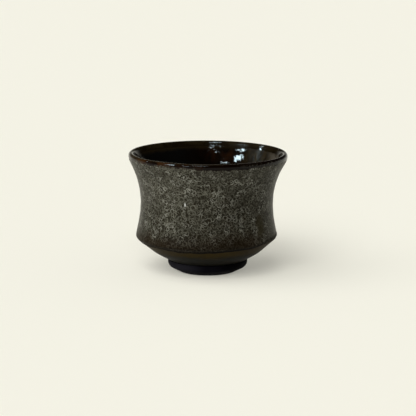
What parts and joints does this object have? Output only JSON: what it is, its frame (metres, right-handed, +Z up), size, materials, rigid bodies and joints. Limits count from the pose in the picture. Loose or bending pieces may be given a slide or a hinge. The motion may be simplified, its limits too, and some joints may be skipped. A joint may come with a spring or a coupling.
{
  "type": "guinomi sake cup",
  "caption": "Small waisted stoneware sake cup with a flared lip, a speckled grey glaze over dark brown and a bare turned foot ring.",
  "frame": {"origin": "middle of the flat face that the foot ring stands on", "axes": "+Z up along the cup's axis, -Y towards the side that the picture shows, +X to its right"},
  "size_m": [0.072, 0.072, 0.0545],
  "materials": {
    "dark_clay": "matte",
    "bare_foot_clay": "matte",
    "speckled_grey_glaze": "satin",
    "rust_lip_glaze": "gloss",
    "black_brown_glaze": "gloss",
    "olive_brown_glaze": "satin"
  },
  "bodies": {
    "root": {"clay_bowl": "dark_clay", "foot_ring": "bare_foot_clay", "outer_glaze": "speckled_grey_glaze", "lip_glaze": "rust_lip_glaze", "inner_glaze": "black_brown_glaze", "skirt_glaze": "olive_brown_glaze"}
  },
  "joints": []
}
